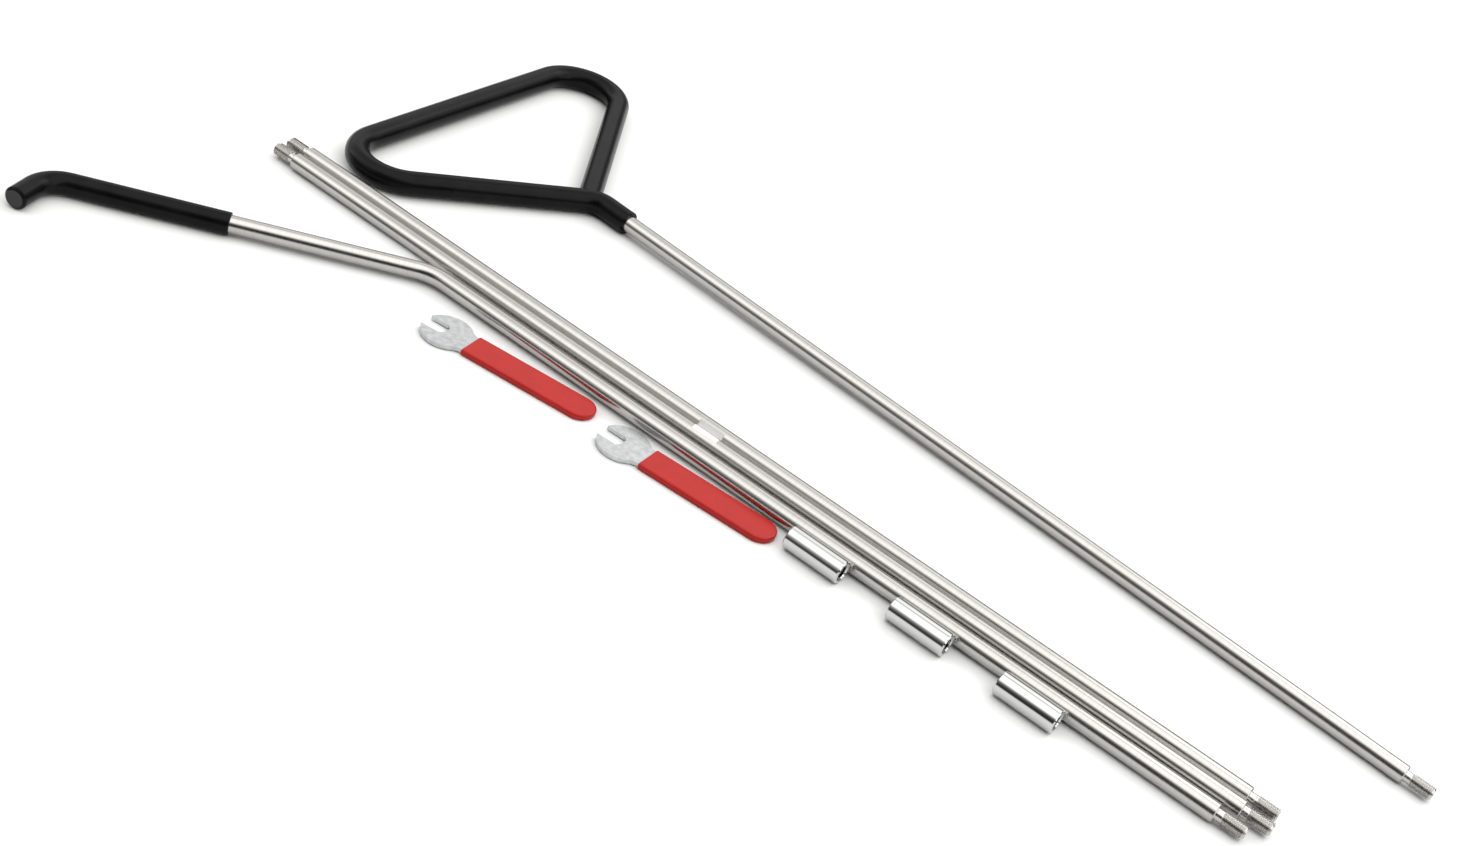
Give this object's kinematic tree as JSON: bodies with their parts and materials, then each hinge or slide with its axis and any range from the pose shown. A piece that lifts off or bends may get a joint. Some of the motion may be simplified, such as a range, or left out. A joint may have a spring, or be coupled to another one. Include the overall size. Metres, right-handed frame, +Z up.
{
  "type": "take-down reach pole kit",
  "caption": "Loop-handled pole, bent-handled pole, double-ended extension rods, threaded coupling sleeves and red-gripped open-end wrenches, laid out flat.",
  "frame": {"origin": "middle of the laid-out kit's footprint, on the floor", "axes": "+X along the extension rods, from the handles towards the threaded ends; +Y across the layout, towards the loop-handled pole; +Z up"},
  "size_m": [0.9148, 0.531, 0.0189],
  "materials": {
    "satin_stainless": "satin, drawn along its length",
    "polished_stainless": "polished, with fine turning lines",
    "black_rubber": "smooth satin black",
    "zinc_plate": "light satin zinc",
    "red_vinyl": "dipped, glossy"
  },
  "bodies": {
    "d_handle_pole": {"d_handle_shaft": "satin_stainless", "d_handle_bar": "satin_stainless", "d_handle_grip": "black_rubber"},
    "bent_handle_pole": {"bent_handle_shaft": "satin_stainless", "bent_handle_bar": "satin_stainless", "bent_handle_grip": "black_rubber"},
    "extension_1": {"extension_rod_1": "satin_stainless"},
    "extension_2": {"extension_rod_2": "satin_stainless"},
    "sleeve_1": {"coupling_1": "polished_stainless"},
    "sleeve_2": {"coupling_2": "polished_stainless"},
    "sleeve_3": {"coupling_3": "polished_stainless"},
    "wrench_1": {"wrench_1_blade": "zinc_plate", "wrench_1_grip": "red_vinyl"},
    "wrench_2": {"wrench_2_blade": "zinc_plate", "wrench_2_grip": "red_vinyl"}
  },
  "joints": [
    {"name": "bent_handle_lift", "type": "slide", "parent": "d_handle_pole", "child": "bent_handle_pole", "axis": [0, 0, 1], "range_m": [0, 0.2]},
    {"name": "extension_1_lift", "type": "slide", "parent": "d_handle_pole", "child": "extension_1", "axis": [0, 0, 1], "range_m": [0, 0.2]},
    {"name": "extension_2_lift", "type": "slide", "parent": "d_handle_pole", "child": "extension_2", "axis": [0, 0, 1], "range_m": [0, 0.2]},
    {"name": "coupling_1_lift", "type": "slide", "parent": "d_handle_pole", "child": "sleeve_1", "axis": [0, 0, 1], "range_m": [0, 0.15]},
    {"name": "coupling_2_lift", "type": "slide", "parent": "d_handle_pole", "child": "sleeve_2", "axis": [0, 0, 1], "range_m": [0, 0.15]},
    {"name": "coupling_3_lift", "type": "slide", "parent": "d_handle_pole", "child": "sleeve_3", "axis": [0, 0, 1], "range_m": [0, 0.15]},
    {"name": "wrench_1_lift", "type": "slide", "parent": "d_handle_pole", "child": "wrench_1", "axis": [0, 0, 1], "range_m": [0, 0.15]},
    {"name": "wrench_2_lift", "type": "slide", "parent": "d_handle_pole", "child": "wrench_2", "axis": [0, 0, 1], "range_m": [0, 0.15]}
  ]
}
